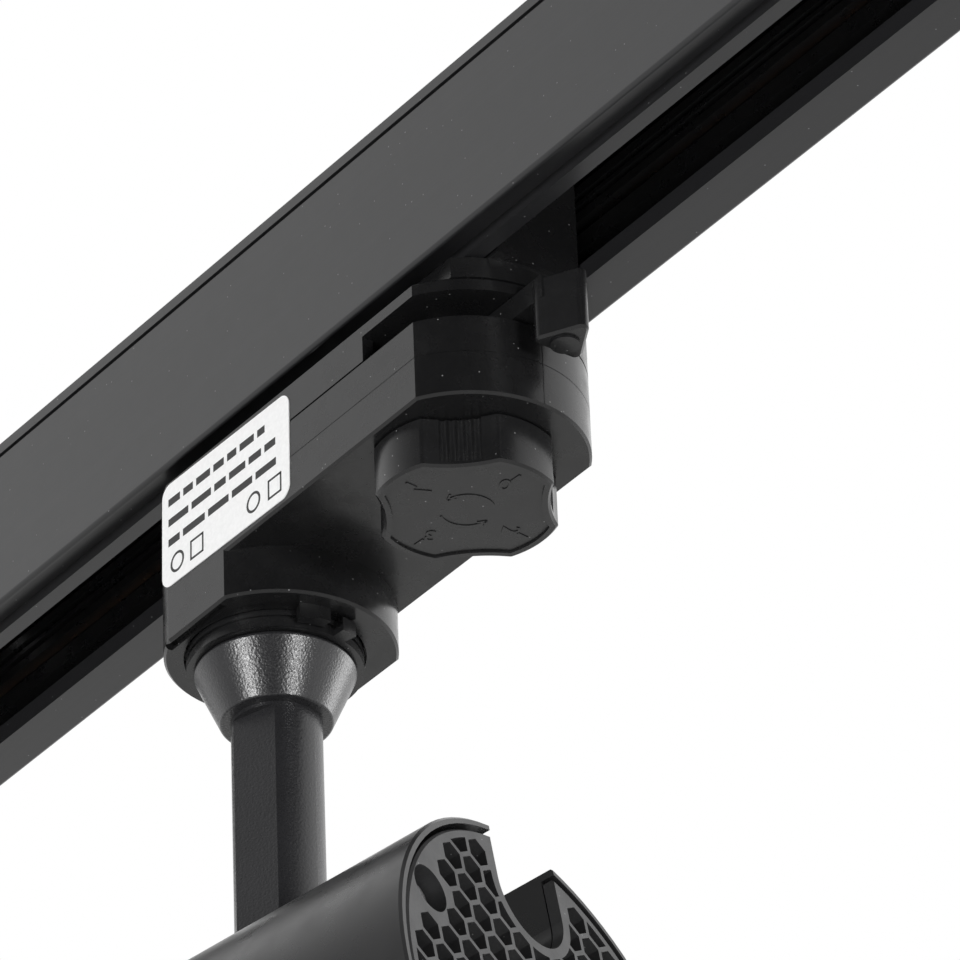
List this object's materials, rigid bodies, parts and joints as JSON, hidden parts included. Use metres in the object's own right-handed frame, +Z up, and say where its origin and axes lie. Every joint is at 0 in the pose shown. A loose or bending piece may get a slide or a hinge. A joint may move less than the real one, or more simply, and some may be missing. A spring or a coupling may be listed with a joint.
{
  "type": "track spotlight",
  "caption": "Cylindrical spotlight that hangs from a keyed adapter on a short length of ceiling track, with a lock lever, selector knob, turning arm and tilting head.",
  "frame": {"origin": "centre of the track's top face, which is screwed to the ceiling", "axes": "+X along the track towards the lock lever's end of the adapter, +Y across the track, +Z up to the ceiling"},
  "size_m": [0.33, 0.1186, 0.2135],
  "materials": {
    "track_aluminium": "black satin powder coat on extruded aluminium",
    "cap_plastic": "black moulded plastic, fine grain",
    "insulator": "black ribbed PVC",
    "copper": "bare drawn copper",
    "adapter_plastic": "black polycarbonate, fine spark-eroded grain",
    "knob_plastic": "black polycarbonate, smooth satin",
    "steel": "zinc-plated steel",
    "brass": "bright brass strip",
    "label": "white vinyl sticker with grey marks",
    "terminal": "white polyamide",
    "arm_paint": "black wrinkle powder coat",
    "cable": "black PVC sheath",
    "head_paint": "black satin powder coat on aluminium",
    "bare_aluminium": "extruded aluminium",
    "driver_case": "white polycarbonate case",
    "cob_phosphor": "yellow phosphor gel",
    "white_plastic": "white heat-proof plastic",
    "reflector": "bright faceted reflector",
    "glass": "clear tempered glass",
    "nylon": "black nylon"
  },
  "bodies": {
    "track": {"track_extrusion": "track_aluminium", "insulator_left": "insulator", "insulator_right": "insulator", "conductors_left": "copper", "conductors_right": "copper", "end_cap_near": "cap_plastic", "end_cap_far": "cap_plastic"},
    "adapter": {"adapter_top_shell": "adapter_plastic", "adapter_middle_shell": "adapter_plastic", "adapter_bottom_shell": "adapter_plastic", "shell_screws": "steel", "rating_label": "label", "earth_contacts": "brass", "neutral_contact": "brass", "terminal_block": "terminal"},
    "lever": {"lock_lever": "knob_plastic", "lever_shaft": "steel", "locking_dog": "steel"},
    "selector": {"selector_knob": "knob_plastic", "selector_shaft": "nylon", "phase_drum": "nylon", "phase_contact": "brass"},
    "arm": {"arm_cone": "arm_paint", "arm_stop_ring": "knob_plastic", "arm_nut": "steel", "arm_washer": "steel", "arm_cable": "cable", "arm_tube": "arm_paint", "arm_knuckle": "arm_paint"},
    "head": {"head_housing": "head_paint", "rear_cap": "cap_plastic", "rear_cap_screws": "steel", "led_driver": "driver_case", "driver_tray": "bare_aluminium", "heatsink": "bare_aluminium", "led_leads": "cable", "cob_board": "bare_aluminium", "cob_emitter": "cob_phosphor", "cob_holder": "white_plastic", "reflector": "reflector", "front_glass": "glass", "front_bezel": "head_paint", "pivot_bolt": "steel", "pivot_nut": "steel", "friction_washers": "nylon"}
  },
  "joints": [
    {"name": "adapter_slide", "type": "slide", "parent": "track", "child": "adapter", "axis": [1, 0, 0], "range_m": [-0.1, 0.1]},
    {"name": "lever_turn", "type": "hinge", "parent": "adapter", "child": "lever", "pos_m": [0.025, 0, -0.0387], "axis": [0, 0, 1], "range_deg": [-84, 0]},
    {"name": "selector_turn", "type": "hinge", "parent": "adapter", "child": "selector", "pos_m": [0.025, 0, -0.06], "axis": [0, 0, 1], "range_deg": [0, 270]},
    {"name": "arm_turn", "type": "hinge", "parent": "adapter", "child": "arm", "pos_m": [-0.025, 0, -0.0641], "axis": [0, 0, 1], "range_deg": [-8, 322]},
    {"name": "head_tilt", "type": "hinge", "parent": "arm", "child": "head", "pos_m": [-0.025, 0, -0.1312], "axis": [0.309, -0.9511, 0], "range_deg": [-9, 81]}
  ]
}
